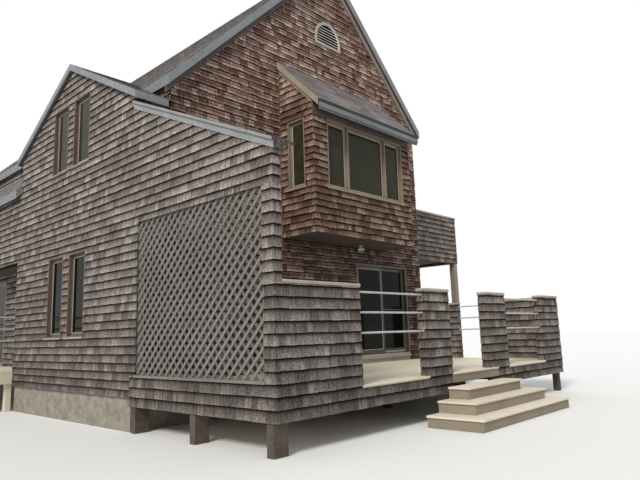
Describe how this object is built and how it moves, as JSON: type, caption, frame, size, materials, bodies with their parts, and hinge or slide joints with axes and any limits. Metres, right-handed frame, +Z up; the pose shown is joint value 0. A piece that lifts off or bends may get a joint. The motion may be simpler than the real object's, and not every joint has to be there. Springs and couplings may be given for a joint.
{
  "type": "beach house",
  "caption": "Two-storey shingled beach house with a gable front, an upper bay, a raised deck with rails and steps, a lattice screen wall and a sliding door.",
  "frame": {"origin": "centre of the underside of the whole part, at ground level", "axes": "+X to the right along the gable front, +Y from the front deck back through the house, +Z up"},
  "size_m": [10.75, 13.335, 9.33],
  "materials": {
    "foundation_block": "rough painted masonry",
    "floor_wood": "satin boards",
    "weathered_shingle": "weathered grey-brown shingles",
    "cedar_shingle": "weathered red-brown shingles",
    "roof_shingle": "mineral-faced roof shingles",
    "grey_trim": "grey paint, satin",
    "window_wood": "varnished, weathered",
    "glass": "clear double glazing",
    "lattice_wood": "weathered slats",
    "deck_wood": "sand-coloured deck paint",
    "frame_wood": "rough sawn, treated",
    "pipe_metal": "light grey satin paint",
    "door_metal": "pale grey satin paint"
  },
  "bodies": {
    "house": {"foundation": "foundation_block", "ground_floor": "floor_wood", "upper_floor": "floor_wood", "front_wall_left": "weathered_shingle", "front_wall_right": "cedar_shingle", "door_sill": "deck_wood", "gable_wall": "cedar_shingle", "side_gable_wall": "weathered_shingle", "side_gable_return": "weathered_shingle", "porch_wall": "weathered_shingle", "porch_soffit": "grey_trim", "overhang_wall": "weathered_shingle", "right_wall": "cedar_shingle", "rear_wall": "cedar_shingle", "main_roof_left": "roof_shingle", "main_roof_right": "roof_shingle", "side_roof_front": "roof_shingle", "side_roof_rear": "roof_shingle", "pent_roof": "roof_shingle", "main_roof_trim": "grey_trim", "side_roof_trim": "grey_trim", "gable_vent": "grey_trim", "bay_floor": "grey_trim", "bay_walls": "cedar_shingle", "bay_roof": "roof_shingle", "bay_roof_trim": "grey_trim", "window_frames": "window_wood", "window_glass": "glass", "screen_wall": "weathered_shingle", "screen_cap": "grey_trim", "lattice_front": "lattice_wood", "lattice_middle": "lattice_wood", "lattice_rear": "lattice_wood", "deck_floor": "deck_wood", "deck_joists": "frame_wood", "deck_posts": "frame_wood", "deck_skirt": "weathered_shingle", "parapets": "weathered_shingle", "parapet_caps": "deck_wood", "pipe_rails": "pipe_metal", "step_low": "deck_wood", "step_middle": "deck_wood", "step_top": "deck_wood", "balcony_floor": "floor_wood", "balcony_parapet": "weathered_shingle", "balcony_posts": "grey_trim", "side_deck": "deck_wood", "front_door_frame": "door_metal"},
    "front_door": {"front_door_panel": "door_metal", "front_door_glass": "glass"}
  },
  "joints": [
    {"name": "front_door_slide", "type": "slide", "parent": "house", "child": "front_door", "axis": [-1, 0, 0], "range_m": [0, 0.81]}
  ]
}
